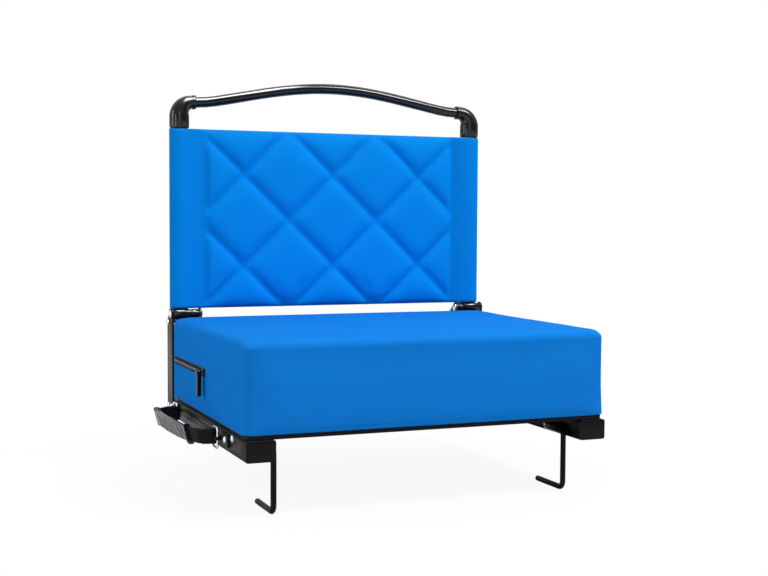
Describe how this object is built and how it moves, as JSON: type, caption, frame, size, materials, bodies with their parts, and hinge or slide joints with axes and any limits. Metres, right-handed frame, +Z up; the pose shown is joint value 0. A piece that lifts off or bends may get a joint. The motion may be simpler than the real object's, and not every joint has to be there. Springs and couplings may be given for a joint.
{
  "type": "bleacher seat",
  "caption": "Folding bleacher seat with a thick blue cushion, quilted fold-down backrest, black steel rails and grab bar, bench hooks and a side carry handle.",
  "frame": {"origin": "On the plane of the rails' undersides, half way between the rails and half way along the cushion's depth.", "axes": "+Z is up, square to the rails' undersides. +Y runs from the cushion's front to the backrest. +X points to the sitter's left."},
  "size_m": [0.476, 0.3545, 0.4929],
  "materials": {
    "blue_fabric": "matte woven",
    "foam": "matte foam",
    "black_board": "matte",
    "black_metal": "satin powder coat",
    "black_plastic": "satin",
    "black_webbing": "woven",
    "grip_rubber": "matte",
    "bright_steel": "plated"
  },
  "bodies": {
    "base": {"seat_cover": "blue_fabric", "seat_foam": "foam", "base_board": "black_board", "handle_tab_front": "black_metal", "handle_tab_rear": "black_metal", "rail_left": "black_metal", "rail_right": "black_metal", "strap_outer_left": "black_metal", "strap_outer_right": "black_metal", "strap_inner_left": "black_metal", "strap_inner_right": "black_metal", "hook_bracket_left": "black_metal", "hook_bracket_right": "black_metal", "rail_cap_front_left": "black_plastic", "rail_cap_front_right": "black_plastic", "rail_cap_rear_left": "black_plastic", "rail_cap_rear_right": "black_plastic", "pivot_bush_left": "black_plastic", "pivot_bush_right": "black_plastic", "zip_tape": "black_webbing", "board_rivet_left_front": "bright_steel", "board_rivet_left_rear": "bright_steel", "board_rivet_right_front": "bright_steel", "board_rivet_right_rear": "bright_steel", "strap_bolt_front_left": "bright_steel", "strap_bolt_front_right": "bright_steel", "strap_bolt_rear_left": "bright_steel", "strap_bolt_rear_right": "bright_steel", "pivot_pin_left": "bright_steel", "pivot_pin_right": "bright_steel", "stop_pin_left": "bright_steel", "stop_pin_right": "bright_steel", "hook_rivet_left": "bright_steel", "hook_rivet_right": "bright_steel", "handle_rivet_front": "bright_steel", "handle_rivet_rear": "bright_steel"},
    "backrest": {"hinge_foot_left": "black_metal", "hinge_foot_right": "black_metal", "upright_tube_left": "black_metal", "upright_tube_right": "black_metal", "elbow_left": "black_plastic", "elbow_right": "black_plastic", "elbow_rivet_left": "bright_steel", "elbow_rivet_right": "bright_steel", "top_bar": "black_metal", "back_cover": "blue_fabric", "back_foam": "foam"},
    "hook_left": {"hook_left": "black_metal", "hook_nut_left": "bright_steel"},
    "hook_right": {"hook_right": "black_metal", "hook_nut_right": "bright_steel"},
    "handle": {"handle_webbing": "black_webbing", "handle_grip": "grip_rubber", "handle_ring_front": "bright_steel", "handle_ring_rear": "bright_steel"},
    "zip_slider": {"zip_slider": "black_metal"},
    "zip_pull": {"zip_pull": "black_webbing"}
  },
  "joints": [
    {"name": "back_fold", "type": "hinge", "parent": "base", "child": "backrest", "pos_m": [0, 0.1695, 0.1311], "axis": [1, 0, 0], "range_deg": [0, 90]},
    {"name": "hook_left_fold", "type": "hinge", "parent": "base", "child": "hook_left", "pos_m": [-0.1764, -0.132, 0.0091], "axis": [0, -1, 0], "range_deg": [0, 90]},
    {"name": "hook_right_fold", "type": "hinge", "parent": "base", "child": "hook_right", "pos_m": [0.1764, -0.132, 0.0091], "axis": [0, 1, 0], "range_deg": [0, 90]},
    {"name": "handle_tilt", "type": "hinge", "parent": "base", "child": "handle", "pos_m": [-0.2225, 0.029, 0.0135], "axis": [0, 1, 0], "range_deg": [-20, 20]},
    {"name": "zip_slide", "type": "slide", "parent": "base", "child": "zip_slider", "axis": [0, 1, 0], "range_m": [0, 0.136]},
    {"name": "zip_pull_swing", "type": "hinge", "parent": "zip_slider", "child": "zip_pull", "pos_m": [-0.2173, 0.002, 0.0761], "axis": [1, 0, 0], "range_deg": [-85, 85]}
  ]
}
